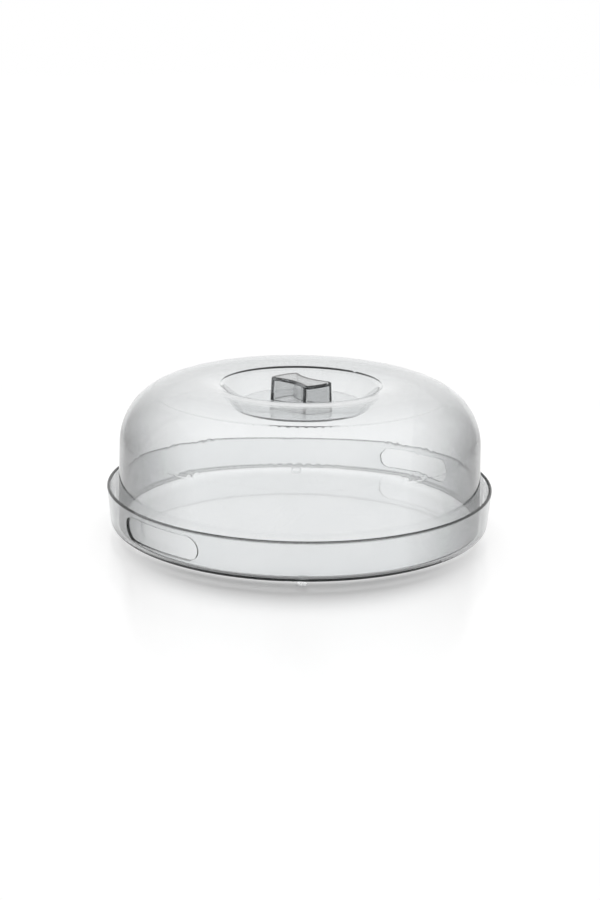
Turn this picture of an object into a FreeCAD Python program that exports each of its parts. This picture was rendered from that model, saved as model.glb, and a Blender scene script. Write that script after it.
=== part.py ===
import FreeCAD, Part
import math
import os
import Sketcher

# Round clear-plastic cake tray with a domed cover, in millimetres.
# The frame has +Z up and its origin on the table, under the middle of the tray. The two hand-holds
# lie on the X axis. The cover stands on the tray floor, inside the wall. Its crown rolls down into a
# round finger recess that holds an hourglass grip.

PIECE_FOLDER = "parts"
TOLERANCE = 0.01

SIZES = {
    "rim_radius": (150.0, "tray, outer radius at the rim"),
    "wall_lean": (2.6, "tray, how far the wall leans out from underside to rim"),
    "tray_base_radius": ("=rim_radius - wall_lean", "tray, outer radius at the underside"),
    "tray_depth": (31.7, "tray, underside to rim"),
    "tray_wall": (2.6, "tray, wall thickness"),
    "tray_floor": (3.0, "tray, floor thickness"),
    "tray_corner": (5.5, "tray, round between underside and wall"),
    "tray_cove": (2.4, "tray, inside round between floor and wall"),
    "rim_land": (0.2, "tray, flat left between the rounds of the rim's two edges"),
    "rim_round": ("=(tray_wall - rim_land) / 2", "tray, round of the rim's two edges"),
    "hold_length": (76.0, "hand-hold, end to end"),
    "hold_height": (18.0, "hand-hold, height and diameter of its round ends"),
    "hold_share": (0.546, "hand-hold, height of its middle as a share of the tray's depth"),
    "hold_rise": ("=tray_depth * hold_share", "hand-hold, middle above the underside"),
    "hold_edge": (0.7, "hand-hold, round of its edges"),
    "foot_diameter": (9.0, "foot, diameter"),
    "foot_height": (4.0, "foot, height"),
    "foot_round": (0.8, "foot, round of its lower edge"),
    "foot_margin": (0.5, "foot, gap to the start of the tray's corner round"),
    "cover_gap": (0.5, "cover, gap between its lower edge and the tray's cove"),
    "cover_height": (109.4, "cover, seat to crown"),
    "cover_draft": (2.0, "cover, draft of its wall in degrees"),
    "cover_wall": (3.0, "cover, wall thickness"),
    "cover_edge": (0.8, "cover, round of its lower edges"),
    "shoulder_share": (0.3067, "cover, radius of the shoulder as a share of the rim's"),
    "shoulder_round": ("=rim_radius * shoulder_share", "cover, radius of the shoulder"),
    "sweep_share": (0.4667, "cover, radius of the crown's curve as a share of the rim's"),
    "crown_sweep": ("=rim_radius * sweep_share", "cover, radius of the crown's curve"),
    "crown_share": (0.5533, "cover, radius of the crown's ring as a share of the rim's"),
    "crown_ring": ("=rim_radius * crown_share", "cover, radius of the ring where the crown is highest"),
    "lip_inset": (22.7, "recess, from the crown's ring in to the mouth"),
    "recess_mouth": ("=crown_ring - lip_inset", "recess, radius at the crown before the lip is rounded"),
    "recess_flare": (11.8, "recess, how far its wall flares out from floor to mouth"),
    "recess_floor_radius": ("=recess_mouth - recess_flare", "recess, radius of its floor before the cove"),
    "recess_depth": (18.0, "recess, crown to recess floor"),
    "recess_cove": (2.0, "recess, round between its floor and wall"),
    "lip_round": (7.0, "recess, round of the lip"),
    "grip_length": (42.5, "grip, length between its corners"),
    "grip_width": (31.5, "grip, width between its corners"),
    "grip_waist": (19.0, "grip, width of its waist"),
    "grip_end_bow": (2.5, "grip, how far its ends bow out"),
    "grip_height": (18.1, "grip, recess floor to top"),
    "grip_wall": (3.0, "grip, wall thickness"),
    "grip_turn": (-5.0, "grip, turn from square with the hand-holds in degrees"),
    "grip_taper": (1.5, "grip, taper of its sides in degrees"),
    "grip_corner": (4.0, "grip, round of its upright corners"),
    "grip_round": (1.6, "grip, round of its top edge"),
}
FOOT_NAMES = ("foot_back_right", "foot_back_left", "foot_front_left", "foot_front_right")
FIRST_FOOT_TURN = 45.0
FULL_TURN = 360.0

START = 1
END = 2
CENTRE = 3
ROOT = -1
LEVEL_AXIS = -1
UPRIGHT_AXIS = -2

doc = FreeCAD.newDocument("covered_tray")
sheet = doc.addObject("Spreadsheet::Sheet", "sizes")
for row, (alias, (value, meaning)) in enumerate(SIZES.items(), start=1):
    sheet.set(f"A{row}", alias)
    sheet.set(f"B{row}", str(value))
    sheet.set(f"C{row}", meaning)
    sheet.setAlias(f"B{row}", alias)
doc.recompute()


def size(alias):
    """The value of one driving dimension."""
    return float(sheet.get(alias))


def point(across, up):
    """A point in a sketch's own plane."""
    return FreeCAD.Vector(across, up, 0)


def new_body(label, seat_height):
    """A body whose lowest plane is lifted to its seat above the table."""
    body = doc.addObject("PartDesign::Body", label)
    body.Label = label
    body.setExpression("Placement.Base.z", seat_height)
    return body


def new_sketch(body, name, plane_role):
    """A sketch on one of the body's own origin planes."""
    sketch = body.newObject("Sketcher::SketchObject", name)
    plane = next(item for item in body.Origin.OriginFeatures if item.Role == plane_role)
    sketch.AttachmentSupport = [(plane, "")]
    sketch.MapMode = "FlatFace"
    return sketch


def draw(sketch, pieces, corners, joint="Coincident"):
    """Add lines and anticlockwise arcs that meet at the corners, in order, as one closed outline."""
    for piece in pieces:
        sketch.addGeometry(piece, False)
    for after, corner in enumerate(corners):
        before = (after - 1) % len(pieces)
        ends = (before, end_at(sketch, before, corner), after, end_at(sketch, after, corner))
        fix(sketch, joint, *ends)


def end_at(sketch, index, corner):
    """Which end of a line or arc lies at the corner."""
    piece = sketch.Geometry[index]
    to_start = piece.StartPoint.distanceToPoint(corner)
    to_end = piece.EndPoint.distanceToPoint(corner)
    return START if to_start < to_end else END


def fix(sketch, kind, *places):
    """A constraint without a size."""
    sketch.addConstraint(Sketcher.Constraint(kind, *places))


def dimension(sketch, name, expression, kind, *places):
    """A constraint whose size comes from the sheet."""
    value = sketch.evalExpression(expression)
    number = float(getattr(value, "Value", value))
    if kind == "Angle":
        number = math.radians(number)
    index = sketch.addConstraint(Sketcher.Constraint(kind, *places, number))
    sketch.renameConstraint(index, name)
    sketch.setExpression(f"Constraints.{name}", expression)


def revolve(body, name, sketch):
    """A full turn of a section about the upright axis."""
    turned = body.newObject("PartDesign::Revolution", name)
    turned.Profile = sketch
    turned.ReferenceAxis = (sketch, ["V_Axis"])
    turned.Angle = FULL_TURN
    doc.recompute()
    return turned


def edges_where(feature, test):
    """Names of the feature's edges that pass the test."""
    return [f"Edge{number}" for number, edge in enumerate(feature.Shape.Edges, start=1) if test(edge)]


def round_edges(body, name, alias, test):
    """Round the edges of the body's last feature that pass the test."""
    base = body.Tip
    chosen = edges_where(base, test)
    if not chosen:
        raise RuntimeError(f"{name} found no edge")
    rounded = body.newObject("PartDesign::Fillet", name)
    rounded.Base = (base, chosen)
    rounded.setExpression("Radius", f"sizes.{alias}")
    doc.recompute()
    return rounded


def hollow(body, name, alias):
    """Hollow the body from below to an even wall."""
    base = body.Tip
    faces = enumerate(base.Shape.Faces, start=1)
    underside, _ = min(faces, key=lambda numbered: numbered[1].CenterOfMass.z)
    shell = body.newObject("PartDesign::Thickness", name)
    shell.Base = (base, [f"Face{underside}"])
    shell.setExpression("Value", f"sizes.{alias}")
    shell.Reversed = True
    doc.recompute()
    return shell


def is_level(edge, height):
    """Whether an edge is a circle about the upright axis at one height."""
    return isinstance(edge.Curve, Part.Circle) and abs(edge.Curve.Center.z - height) < TOLERANCE


def make_tray():
    """Shallow drafted pan with a rounded rim and two slots through its wall."""
    body = new_body("tray", "sizes.foot_height")
    section = new_sketch(body, "tray_section", "XZ_Plane")
    inner_base = size("tray_base_radius") - size("tray_wall")
    corners = [
        point(0, 0),
        point(size("tray_base_radius"), 0),
        point(size("rim_radius"), size("tray_depth")),
        point(size("rim_radius") - size("tray_wall"), size("tray_depth")),
        point(inner_base, size("tray_floor")),
        point(0, size("tray_floor")),
    ]
    following = corners[1:] + corners[:1]
    sides = [Part.LineSegment(corner, after) for corner, after in zip(corners, following)]
    draw(section, sides, corners)
    underside, outer_wall, rim, inner_wall, floor, axis = range(len(sides))
    fix(section, "Coincident", underside, START, ROOT, START)
    for level in (underside, rim, floor):
        fix(section, "Horizontal", level)
    fix(section, "Vertical", axis)
    fix(section, "Parallel", outer_wall, inner_wall)
    dimension(section, "base", "sizes.tray_base_radius", "DistanceX", underside, START, underside, END)
    dimension(section, "rim", "sizes.rim_radius", "DistanceX", ROOT, START, outer_wall, END)
    dimension(section, "depth", "sizes.tray_depth", "DistanceY", ROOT, START, outer_wall, END)
    dimension(section, "wall", "sizes.tray_wall", "DistanceX", rim, END, rim, START)
    dimension(section, "floor", "sizes.tray_floor", "DistanceY", axis, END, axis, START)
    revolve(body, "tray_pan", section)

    def is_corner(edge):
        return is_level(edge, 0)

    def is_cove(edge):
        return is_level(edge, size("tray_floor"))

    def is_rim(edge):
        return is_level(edge, size("tray_depth"))

    round_edges(body, "tray_corner_round", "tray_corner", is_corner)
    round_edges(body, "tray_inside_round", "tray_cove", is_cove)
    round_edges(body, "tray_rim_round", "rim_round", is_rim)
    cut_hand_holds(body)
    return body


def cut_hand_holds(body):
    """One slot with round ends, cut straight through both sides of the wall."""
    slot = new_sketch(body, "hand_hold_outline", "YZ_Plane")
    radius = size("hold_height") / 2
    reach = size("hold_length") / 2 - radius
    middle = size("hold_rise")
    corners = [
        point(-reach, middle - radius),
        point(reach, middle - radius),
        point(reach, middle + radius),
        point(-reach, middle + radius),
    ]
    right_tip = point(reach + radius, middle)
    left_tip = point(-reach - radius, middle)
    sides = [
        Part.LineSegment(corners[0], corners[1]),
        Part.Arc(corners[1], right_tip, corners[2]),
        Part.LineSegment(corners[2], corners[3]),
        Part.Arc(corners[3], left_tip, corners[0]),
    ]
    draw(slot, sides, corners, joint="Tangent")
    bottom, right_end, _, left_end = range(len(sides))
    fix(slot, "Horizontal", bottom)
    fix(slot, "Equal", right_end, left_end)
    half_straight = "(sizes.hold_length - sizes.hold_height) / 2"
    dimension(slot, "round_end", "sizes.hold_height / 2", "Radius", right_end)
    dimension(slot, "rise", "sizes.hold_rise", "DistanceY", ROOT, START, right_end, CENTRE)
    dimension(slot, "to_right", half_straight, "DistanceX", ROOT, START, right_end, CENTRE)
    dimension(slot, "to_left", half_straight, "DistanceX", left_end, CENTRE, ROOT, START)
    before = body.Shape.Volume
    pocket = body.newObject("PartDesign::Pocket", "hand_holds")
    pocket.Profile = slot
    pocket.Type = "ThroughAll"
    pocket.SideType = "Symmetric"
    doc.recompute()
    if not pocket.Shape.Volume < before:
        raise RuntimeError("the hand-holds cut nothing")

    def is_slot_edge(edge):
        box = edge.BoundBox
        low = middle - radius - size("hold_edge")
        high = middle + radius + size("hold_edge")
        within = box.ZMin > low and box.ZMax < high
        return within and box.YLength < size("hold_length") and not runs_through_wall(edge)

    round_edges(body, "hand_hold_edges", "hold_edge", is_slot_edge)


def runs_through_wall(edge):
    """Whether an edge goes straight through the wall, along X."""
    box = edge.BoundBox
    return max(box.YLength, box.ZLength) < TOLERANCE


def make_cover():
    """Dome with a soft shoulder, hollowed from below, whose crown rolls down into a finger recess."""
    body = new_body("cover", "sizes.foot_height + sizes.tray_floor")
    section = new_sketch(body, "cover_section", "XZ_Plane")
    base_radius = "sizes.tray_base_radius - sizes.tray_wall - sizes.tray_cove - sizes.cover_gap"
    foot = section.evalExpression(base_radius)
    height = size("cover_height")
    lean = math.tan(math.radians(size("cover_draft")))
    crown_centre = point(size("crown_ring"), height - size("crown_sweep"))

    def crown_height(across):
        rise = math.sqrt(size("crown_sweep") ** 2 - (across - crown_centre.x) ** 2)
        return crown_centre.y + rise

    shoulder_across = foot - lean * height
    shoulder = point(shoulder_across, crown_height(shoulder_across))
    mouth = point(size("recess_mouth"), crown_height(size("recess_mouth")))
    top = point(size("crown_ring"), height)
    recess_level = height - size("recess_depth")
    corners = [
        point(0, 0),
        point(foot, 0),
        shoulder,
        mouth,
        point(size("recess_floor_radius"), recess_level),
        point(0, recess_level),
    ]
    sides = [
        Part.LineSegment(corners[0], corners[1]),
        Part.LineSegment(corners[1], corners[2]),
        Part.Arc(corners[2], top, corners[3]),
        Part.LineSegment(corners[3], corners[4]),
        Part.LineSegment(corners[4], corners[5]),
        Part.LineSegment(corners[5], corners[0]),
    ]
    draw(section, sides, corners)
    seat, wall, crown, recess_wall, recess_floor, axis = range(len(sides))
    fix(section, "Coincident", seat, START, ROOT, START)
    fix(section, "Horizontal", seat)
    fix(section, "Horizontal", recess_floor)
    fix(section, "Vertical", axis)
    dimension(section, "seat", base_radius, "DistanceX", seat, START, seat, END)
    dimension(section, "draft", "90 deg + sizes.cover_draft * 1 deg", "Angle", wall)
    dimension(section, "sweep", "sizes.crown_sweep", "Radius", crown)
    dimension(section, "ring", "sizes.crown_ring", "DistanceX", ROOT, START, crown, CENTRE)
    below = "sizes.crown_sweep - sizes.cover_height"
    dimension(section, "below", below, "DistanceY", crown, CENTRE, ROOT, START)
    dimension(section, "mouth", "sizes.recess_mouth", "DistanceX", ROOT, START, recess_wall, START)
    floor_radius = "sizes.recess_floor_radius"
    dimension(section, "recess", floor_radius, "DistanceX", ROOT, START, recess_wall, END)
    level = "sizes.cover_height - sizes.recess_depth"
    dimension(section, "level", level, "DistanceY", axis, END, axis, START)
    revolve(body, "cover_dome", section)

    def is_recess_corner(edge):
        return is_level(edge, recess_level)

    def is_shoulder(edge):
        return edge.BoundBox.ZMin > 0 and edge.BoundBox.XMax > size("crown_ring")

    def is_lip(edge):
        return edge.BoundBox.ZMin > recess_level and edge.BoundBox.XMax < size("crown_ring")

    def is_seat_edge(edge):
        return is_level(edge, 0)

    round_edges(body, "recess_inside_round", "recess_cove", is_recess_corner)
    round_edges(body, "recess_lip_round", "lip_round", is_lip)
    round_edges(body, "shoulder_soft_round", "shoulder_round", is_shoulder)
    hollow(body, "cover_shell", "cover_wall")
    round_edges(body, "cover_lower_edges", "cover_edge", is_seat_edge)
    return body


def make_grip():
    """Hourglass block with hollow sides and bowed ends, open below, that stands on the recess floor."""
    seat = "sizes.foot_height + sizes.tray_floor + sizes.cover_height - sizes.recess_depth"
    body = new_body("grip", seat)
    body.setExpression("Placement.Rotation.Angle", "sizes.grip_turn * 1 deg")
    outline = new_sketch(body, "grip_outline", "XY_Plane")
    half_width = size("grip_width") / 2
    half_length = size("grip_length") / 2
    half_waist = size("grip_waist") / 2
    half_bowed = half_length + size("grip_end_bow")
    corners = [
        point(-half_width, -half_length),
        point(half_width, -half_length),
        point(half_width, half_length),
        point(-half_width, half_length),
    ]
    sides = [
        Part.Arc(corners[0], point(0, -half_bowed), corners[1]),
        Part.Arc(corners[2], point(half_waist, 0), corners[1]),
        Part.Arc(corners[2], point(0, half_bowed), corners[3]),
        Part.Arc(corners[0], point(-half_waist, 0), corners[3]),
    ]
    draw(outline, sides, corners)
    front, right, back, left = range(len(sides))
    for end in (front, back):
        fix(outline, "Symmetric", end, START, end, END, UPRIGHT_AXIS)
    fix(outline, "Symmetric", front, START, back, END, LEVEL_AXIS)
    fix(outline, "Equal", right, left)
    fix(outline, "Equal", front, back)
    dimension(outline, "width", "sizes.grip_width", "DistanceX", front, START, front, END)
    dimension(outline, "length", "sizes.grip_length", "DistanceY", front, END, back, START)
    hollow_bow = "(sizes.grip_width - sizes.grip_waist) / 2"
    dimension(outline, "side_radius", bow_radius("sizes.grip_length", hollow_bow), "Radius", right)
    end_radius = bow_radius("sizes.grip_width", "sizes.grip_end_bow")
    dimension(outline, "end_radius", end_radius, "Radius", front)
    block = body.newObject("PartDesign::Pad", "grip_block")
    block.Profile = outline
    block.setExpression("Length", "sizes.grip_height")
    block.setExpression("TaperAngle", "-sizes.grip_taper")
    doc.recompute()

    def is_upright(edge):
        return edge.BoundBox.ZLength > size("grip_height") / 2

    def is_top_edge(edge):
        return edge.BoundBox.ZMin > size("grip_height") - TOLERANCE

    round_edges(body, "grip_corner_rounds", "grip_corner", is_upright)
    hollow(body, "grip_shell", "grip_wall")
    round_edges(body, "grip_top_round", "grip_round", is_top_edge)
    return body


def bow_radius(chord, bow):
    """The radius of an arc that bows off its chord, as an expression."""
    return f"(pow({chord} / 2; 2) + pow({bow}; 2)) / (2 * {bow})"


def make_foot(name, turn):
    """Round bumper with a softened lower edge, stuck to the flat of the underside."""
    post = doc.addObject("Part::Cylinder", f"{name}_post")
    post.setExpression("Radius", "sizes.foot_diameter / 2")
    post.setExpression("Height", "sizes.foot_height")
    doc.recompute()
    foot = doc.addObject("Part::Fillet", name)
    foot.Label = name
    foot.Base = post
    lower_edge = next(
        number for number, edge in enumerate(post.Shape.Edges, start=1) if is_level(edge, 0)
    )
    foot.Edges = [(lower_edge, size("foot_round"), size("foot_round"))]
    clear = "sizes.tray_corner + sizes.foot_margin + sizes.foot_diameter / 2"
    reach = f"(sizes.tray_base_radius - ({clear}))"
    foot.setExpression("Placement.Base.x", f"{reach} * cos({turn} deg)")
    foot.setExpression("Placement.Base.y", f"{reach} * sin({turn} deg)")
    doc.recompute()
    return foot


def check(pieces):
    """Stop if any object failed or any piece isn't one sound solid."""
    for item in doc.Objects:
        if {"Invalid", "Error"} & set(item.State):
            raise RuntimeError(f"{item.Name} failed: {item.State}")
    for piece in pieces:
        shape = piece.Shape
        if shape.isNull() or not shape.isValid() or len(shape.Solids) != 1:
            raise RuntimeError(f"{piece.Label} is not one valid solid")


quarter_turn = FULL_TURN / len(FOOT_NAMES)
pieces = [make_tray(), make_cover(), make_grip()]
for place, foot_name in enumerate(FOOT_NAMES):
    pieces.append(make_foot(foot_name, FIRST_FOOT_TURN + place * quarter_turn))
doc.recompute()
check(pieces)
os.makedirs(PIECE_FOLDER, exist_ok=True)
for piece in pieces:
    piece.Shape.exportStep(os.path.join(PIECE_FOLDER, f"{piece.Label}.step"))
    print(piece.Label, round(piece.Shape.Volume), "cubic mm")
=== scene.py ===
import math

import bpy
from mathutils import Matrix, Vector

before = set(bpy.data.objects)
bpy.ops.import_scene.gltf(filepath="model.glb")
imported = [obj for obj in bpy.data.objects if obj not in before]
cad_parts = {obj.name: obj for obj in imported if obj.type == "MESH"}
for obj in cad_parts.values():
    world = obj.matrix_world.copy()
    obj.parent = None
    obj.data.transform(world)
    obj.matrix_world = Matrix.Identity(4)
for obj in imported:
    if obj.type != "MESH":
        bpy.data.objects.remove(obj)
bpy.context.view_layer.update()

scene = bpy.context.scene

# The camera that the photograph was taken with, in metres and degrees
VIEW_AZIMUTH = math.radians(-46.3)
VIEW_ELEVATION = math.radians(18.178)
VIEW_DISTANCE = 1.2
VIEW_TARGET = Vector((0.0, 0.0, 0.0012))
VIEW_ROLL = math.radians(0.944)
VIEW_ANGLE = math.radians(33.05)
VIEW_SHIFT = (0.0012, 0.07985)

# Level directions away from the camera and to its right
AHEAD = Vector((-math.sin(VIEW_AZIMUTH), math.cos(VIEW_AZIMUTH), 0.0))
SIDE = Vector((math.cos(VIEW_AZIMUTH), math.sin(VIEW_AZIMUTH), 0.0))
UP = Vector((0.0, 0.0, 1.0))

# Clear plastic
PLASTIC_IOR = 1.5
CLEAR = (0.945, 0.95, 0.952, 1.0)
SMOKY = (0.8, 0.805, 0.807, 1.0)
PALE = (0.99, 0.99, 0.99, 1.0)
BLACK = (0.0, 0.0, 0.0, 1.0)
FLOW_SCALE = 22.0
RIPPLE_HEIGHT = 0.0004
MOULDING_GRAIN = 160.0
RUBBER_GRAIN = 500.0
RUBBER_ALPHA = 0.4

# Painted shade on upright walls, darker edge-on: slopes and slants, and the share of dark at each end of
# them
WALL_SLOPES = (0.25, 0.9)
WALL_SHARES = (1.0, 0.15)
WALL_SLANTS = (0.22, 1.0)

# Painted dark lines of the tray, shade at the round of its rim and the cove of its floor
RIM_PAINTED_SHADE = 0.93
RIM_DEPTHS = (0.0024, 0.001)
RIM_INSETS = (0.0026, 0.0012)
COVE_PAINTED_SHADE = 0.45
COVE_FOOT = 0.007
COVE_FOOT_FADE = 0.0004
COVE_TOP = 0.0095
COVE_TOP_FADE = 0.001
COVE_INSETS = (0.0078, 0.0068)

# Less painted shade in the middle of the cover
MIDDLE_RADII = (0.062, 0.08)
MIDDLE_SHADE_EASED = 0.16

# Table top: its glow, with a painted shadow in front of the tray, painted light under the tray and plain
# white far off
TABLE_HALF = 8.0
TABLE_LEVEL = -0.0002
TABLE_COLOUR = (0.6, 0.6, 0.6, 1.0)
TABLE_ROUGHNESS = 0.18
TABLE_IOR = 1.5
PAINTED_SHADOW_SHIFT = 0.06
PAINTED_SHADOW_RADII = (0.09, 0.145)
PAINTED_SHADOW_GLOWS = (0.28, 0.57)
PAINTED_LIGHT_SHIFT = 0.012
PAINTED_LIGHT_RADII = (0.136, 0.152)
PAINTED_LIGHT_GLOW = 0.93
FAR_RADII = (0.3, 0.55)
FAR_GLOW = 1.02

# Studio
STUDIO_TILT = 0.35
STUDIO_SPREAD = (-0.7, 0.6)
STUDIO_LIGHT = (0.05, 1.0)
BOX_SIZE = 1.0
BOX_POWER = 0.6
BOX_PLACE = 0.3 * AHEAD + 1.6 * UP
BOX_TARGET = Vector((0.0, 0.0, 0.05))

# Sockets of the mix node that share their names with others
MIX_SHARE = 0
MIX_VALUES = (2, 3)
MIX_VALUE_OUT = 0
MIX_COLOURS = (6, 7)
MIX_COLOUR_OUT = 2


def add_node(tree, kind, **inputs):
    """A shader node with some of its inputs set, by input name with _ for a space."""
    node = tree.nodes.new(kind)
    for name, value in inputs.items():
        node.inputs[name.replace("_", " ")].default_value = value
    return node


def ramp(tree, value, span, results, smooth=False):
    """A value that goes from the first result to the second while another crosses a span."""
    node = add_node(tree, "ShaderNodeMapRange")
    for name, number in zip(("From Min", "From Max", "To Min", "To Max"), (*span, *results)):
        node.inputs[name].default_value = number
    if smooth:
        node.interpolation_type = "SMOOTHSTEP"
    tree.links.new(value, node.inputs["Value"])
    return node.outputs["Result"]


def combine(tree, operation, first, second):
    """Two values worked into one."""
    node = add_node(tree, "ShaderNodeMath")
    node.operation = operation
    tree.links.new(first, node.inputs[0])
    tree.links.new(second, node.inputs[1])
    return node.outputs["Value"]


def mix_colours(tree, share, second):
    """A mix node whose first colour is still to be given."""
    node = add_node(tree, "ShaderNodeMix")
    node.data_type = "RGBA"
    node.inputs[MIX_COLOURS[1]].default_value = second
    tree.links.new(share, node.inputs[MIX_SHARE])
    return node


def distance_from(tree, place, point):
    """How far a place on the surface lies from a point."""
    node = add_node(tree, "ShaderNodeVectorMath")
    node.operation = "DISTANCE"
    node.inputs[1].default_value = point
    tree.links.new(place.outputs["Object"], node.inputs[0])
    return node.outputs["Value"]


def from_axis(tree, place):
    """How far a place on the surface lies from the upright axis."""
    level = add_node(tree, "ShaderNodeVectorMath")
    level.operation = "MULTIPLY"
    level.inputs[1].default_value = (1.0, 1.0, 0.0)
    away = add_node(tree, "ShaderNodeVectorMath")
    away.operation = "LENGTH"
    tree.links.new(place.outputs["Object"], level.inputs[0])
    tree.links.new(level.outputs["Vector"], away.inputs[0])
    return away.outputs["Value"]


def painted_wall_shade(tree, edge):
    """The share of painted shade on upright walls, which grows edge-on."""
    slant = add_node(tree, "ShaderNodeLayerWeight", Blend=0.5)
    shape = add_node(tree, "ShaderNodeNewGeometry")
    parts = add_node(tree, "ShaderNodeSeparateXYZ")
    lying = add_node(tree, "ShaderNodeMath")
    lying.operation = "ABSOLUTE"
    tree.links.new(shape.outputs["Normal"], parts.inputs["Vector"])
    tree.links.new(parts.outputs["Z"], lying.inputs[0])
    upright = ramp(tree, lying.outputs["Value"], WALL_SLOPES, WALL_SHARES)
    thick = ramp(tree, slant.outputs["Facing"], WALL_SLANTS, edge)
    return combine(tree, "MULTIPLY", upright, thick)


def paint_rim_and_cove_shade(tree, place, dark, radius, height):
    """The share of painted shade, raised in dark bands where the round of the rim and the cove of the floor
    trap the light.
    """
    parts = add_node(tree, "ShaderNodeSeparateXYZ")
    tree.links.new(place.outputs["Object"], parts.inputs["Vector"])
    level = parts.outputs["Z"]
    away = from_axis(tree, place)
    painted_rim_band = (
        ramp(tree, level, [height - depth for depth in RIM_DEPTHS], (0.0, RIM_PAINTED_SHADE)),
        ramp(tree, away, [radius - inset for inset in RIM_INSETS], (0.0, 1.0)),
    )
    painted_cove_band = (
        ramp(tree, level, (COVE_TOP - COVE_TOP_FADE, COVE_TOP), (COVE_PAINTED_SHADE, 0.0)),
        ramp(tree, away, [radius - inset for inset in COVE_INSETS], (0.0, 1.0)),
        ramp(tree, level, (COVE_FOOT - COVE_FOOT_FADE, COVE_FOOT), (0.0, 1.0)),
    )
    for first, *others in (painted_rim_band, painted_cove_band):
        for other in others:
            first = combine(tree, "MULTIPLY", first, other)
        dark = combine(tree, "MAXIMUM", first, dark)
    return dark


def ease_middle_shade(tree, place, dark, radii):
    """The share of painted shade, lowered round the upright axis."""
    less = ramp(tree, from_axis(tree, place), radii, (MIDDLE_SHADE_EASED, 0.0))
    lowered = combine(tree, "SUBTRACT", dark, less)
    lowered.node.use_clamp = True
    return lowered


def clear_plastic(name, tint, density, roughness, ripple, grain, edge, rim=None, middle_shade_radii=None):
    """Clear moulded plastic: faint flow ripples, an uneven polish and painted shade that darkens upright
    walls edge-on.
    """
    material = bpy.data.materials.new(name)
    material.use_nodes = True
    tree = material.node_tree
    link = tree.links.new
    shader = tree.nodes["Principled BSDF"]
    shader.inputs["IOR"].default_value = PLASTIC_IOR
    shader.inputs["Transmission Weight"].default_value = 1.0
    place = add_node(tree, "ShaderNodeTexCoord")
    flow = add_node(tree, "ShaderNodeTexNoise", Scale=FLOW_SCALE, Detail=2.0, Roughness=0.4)
    polish = add_node(tree, "ShaderNodeTexNoise", Scale=grain, Detail=5.0, Roughness=0.6)
    for noise in (flow, polish):
        link(place.outputs["Object"], noise.inputs["Vector"])
    link(ramp(tree, polish.outputs["Fac"], (0.0, 1.0), roughness), shader.inputs["Roughness"])

    dark = painted_wall_shade(tree, edge)
    if rim:
        dark = paint_rim_and_cove_shade(tree, place, dark, *rim)
    if middle_shade_radii:
        dark = ease_middle_shade(tree, place, dark, middle_shade_radii)
    streak = mix_colours(tree, flow.outputs["Fac"], tint)
    streak.inputs[MIX_COLOURS[0]].default_value = PALE
    # Painted shade: the base colour is mixed towards black by the share of dark.
    colour = mix_colours(tree, dark, BLACK)
    link(streak.outputs[MIX_COLOUR_OUT], colour.inputs[MIX_COLOURS[0]])
    link(colour.outputs[MIX_COLOUR_OUT], shader.inputs["Base Color"])

    bump = add_node(tree, "ShaderNodeBump", Strength=ripple, Distance=RIPPLE_HEIGHT)
    link(flow.outputs["Fac"], bump.inputs["Height"])
    link(bump.outputs["Normal"], shader.inputs["Normal"])
    body = add_node(tree, "ShaderNodeVolumeAbsorption", Color=tint, Density=density)
    link(body.outputs["Volume"], tree.nodes["Material Output"].inputs["Volume"])
    return material


def dress(node, material):
    """Gives a CAD node a material in place of its plain one."""
    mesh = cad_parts[node].data
    mesh.materials.clear()
    mesh.materials.append(material)


def dress_tray():
    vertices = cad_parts["tray"].data.vertices
    tray_rim = [max(vertex.co[axis] for vertex in vertices) for axis in (0, 2)]
    dress("tray", clear_plastic(
        "tray_plastic", CLEAR, density=300.0, roughness=(0.01, 0.05), ripple=0.03, grain=MOULDING_GRAIN,
        edge=(0.0, 0.7), rim=tray_rim))


def dress_cover():
    dress("cover", clear_plastic(
        "cover_plastic", CLEAR, density=370.0, roughness=(0.01, 0.04), ripple=0.02, grain=MOULDING_GRAIN,
        edge=(0.05, 1.2), middle_shade_radii=MIDDLE_RADII))


def dress_grip():
    dress("grip", clear_plastic(
        "grip_plastic", SMOKY, density=230.0, roughness=(0.02, 0.06), ripple=0.05, grain=MOULDING_GRAIN,
        edge=(0.0, 0.4)))


def dress_feet():
    rubber = clear_plastic(
        "foot_rubber", CLEAR, density=60.0, roughness=(0.02, 0.08), ripple=0.1, grain=RUBBER_GRAIN,
        edge=(0.0, 0.2))
    rubber.node_tree.nodes["Principled BSDF"].inputs["Alpha"].default_value = RUBBER_ALPHA
    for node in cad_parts:
        if node.startswith("foot_"):
            dress(node, rubber)


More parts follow.
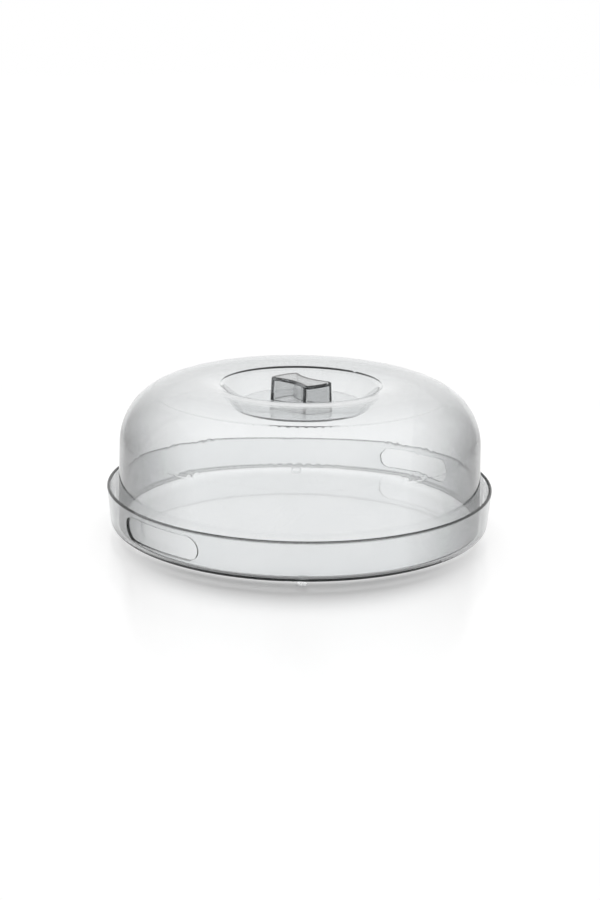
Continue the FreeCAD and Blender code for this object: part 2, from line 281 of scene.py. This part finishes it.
def table_white():
    """White polish whose glow paints a soft shadow in front of the tray and paints light under it, and is
    plain white far off.
    """
    material = bpy.data.materials.new("white_table")
    material.use_nodes = True
    tree = material.node_tree
    link = tree.links.new
    shader = tree.nodes["Principled BSDF"]
    shader.inputs["Base Color"].default_value = TABLE_COLOUR
    shader.inputs["Roughness"].default_value = TABLE_ROUGHNESS
    shader.inputs["IOR"].default_value = TABLE_IOR
    shader.inputs["Emission Color"].default_value = (1.0, 1.0, 1.0, 1.0)
    place = add_node(tree, "ShaderNodeTexCoord")
    # Painted shadow: the glow dims round a point in front of the tray. Painted light: it rises under the
    # tray.
    painted_shadow_away = distance_from(tree, place, -PAINTED_SHADOW_SHIFT * AHEAD)
    painted_light_away = distance_from(tree, place, PAINTED_LIGHT_SHIFT * AHEAD)
    middle_away = distance_from(tree, place, (0.0, 0.0, 0.0))
    painted_glow = add_node(tree, "ShaderNodeMix")
    painted_glow.inputs[MIX_VALUES[0]].default_value = PAINTED_LIGHT_GLOW
    link(ramp(tree, painted_light_away, PAINTED_LIGHT_RADII, (0.0, 1.0), smooth=True), painted_glow.inputs[MIX_SHARE])
    link(ramp(tree, painted_shadow_away, PAINTED_SHADOW_RADII, PAINTED_SHADOW_GLOWS, smooth=True), painted_glow.inputs[MIX_VALUES[1]])
    link(painted_glow.outputs[MIX_VALUE_OUT], shader.inputs["Emission Strength"])
    white = add_node(tree, "ShaderNodeEmission", Strength=FAR_GLOW)
    blend = add_node(tree, "ShaderNodeMixShader")
    link(ramp(tree, middle_away, FAR_RADII, (0.0, 1.0), smooth=True), blend.inputs["Fac"])
    link(shader.outputs["BSDF"], blend.inputs[1])
    link(white.outputs["Emission"], blend.inputs[2])
    link(blend.outputs["Shader"], tree.nodes["Material Output"].inputs["Surface"])
    return material


def lay_table():
    """A large table top, a hair below the feet."""
    mesh = bpy.data.meshes.new("table_top")
    turns = ((-1, -1), (1, -1), (1, 1), (-1, 1))
    corners = [(along * TABLE_HALF, across * TABLE_HALF, TABLE_LEVEL) for along, across in turns]
    mesh.from_pydata(corners, [], [(0, 1, 2, 3)])
    mesh.materials.append(table_white())
    table = bpy.data.objects.new("table_top", mesh)
    scene.collection.objects.link(table)


def surround():
    """A white studio, whose light comes mostly from behind the object."""
    world = bpy.data.worlds.new("studio")
    scene.world = world
    world.use_nodes = True
    tree = world.node_tree
    place = add_node(tree, "ShaderNodeTexCoord")
    away = add_node(tree, "ShaderNodeVectorMath")
    away.operation = "DOT_PRODUCT"
    away.inputs[1].default_value = AHEAD + STUDIO_TILT * UP
    tree.links.new(place.outputs["Generated"], away.inputs[0])
    seen = ramp(tree, away.outputs["Value"], STUDIO_SPREAD, STUDIO_LIGHT)
    rays = add_node(tree, "ShaderNodeLightPath")
    for kind in ("Is Camera Ray", "Is Glossy Ray", "Is Transmission Ray"):
        seen = combine(tree, "MAXIMUM", seen, rays.outputs[kind])
    tree.links.new(seen, tree.nodes["Background"].inputs["Color"])


def hang_light(name, place):
    """A soft box that faces the middle of the object."""
    lamp = bpy.data.lights.new(name, "AREA")
    lamp.shape = "RECTANGLE"
    lamp.size = BOX_SIZE
    lamp.size_y = BOX_SIZE
    lamp.energy = BOX_POWER
    light = bpy.data.objects.new(name, lamp)
    light.location = place
    light.rotation_euler = (BOX_TARGET - light.location).to_track_quat("-Z", "Y").to_euler()
    scene.collection.objects.link(light)


def set_camera():
    lens = bpy.data.cameras.new("photo_view")
    lens.sensor_fit = "VERTICAL"
    lens.angle = VIEW_ANGLE
    lens.shift_x, lens.shift_y = VIEW_SHIFT
    camera = bpy.data.objects.new("photo_view", lens)
    turn = Matrix.Rotation(VIEW_AZIMUTH, 4, "Z") @ Matrix.Rotation(math.pi / 2 - VIEW_ELEVATION, 4, "X")
    back = turn @ Vector((0.0, 0.0, VIEW_DISTANCE))
    camera.matrix_world = Matrix.Translation(VIEW_TARGET + back) @ turn @ Matrix.Rotation(VIEW_ROLL, 4, "Z")
    scene.collection.objects.link(camera)
    scene.camera = camera


dress_tray()
dress_cover()
dress_grip()
dress_feet()
lay_table()
surround()
set_camera()
hang_light("left_soft_box", BOX_PLACE - SIDE)
hang_light("right_soft_box", BOX_PLACE + SIDE)

scene.view_settings.view_transform = "Standard"
scene.cycles.use_denoising = True
scene.cycles.caustics_refractive = False
scene.cycles.caustics_reflective = False
scene.cycles.max_bounces = 32
scene.cycles.transmission_bounces = 32
scene.cycles.glossy_bounces = 16
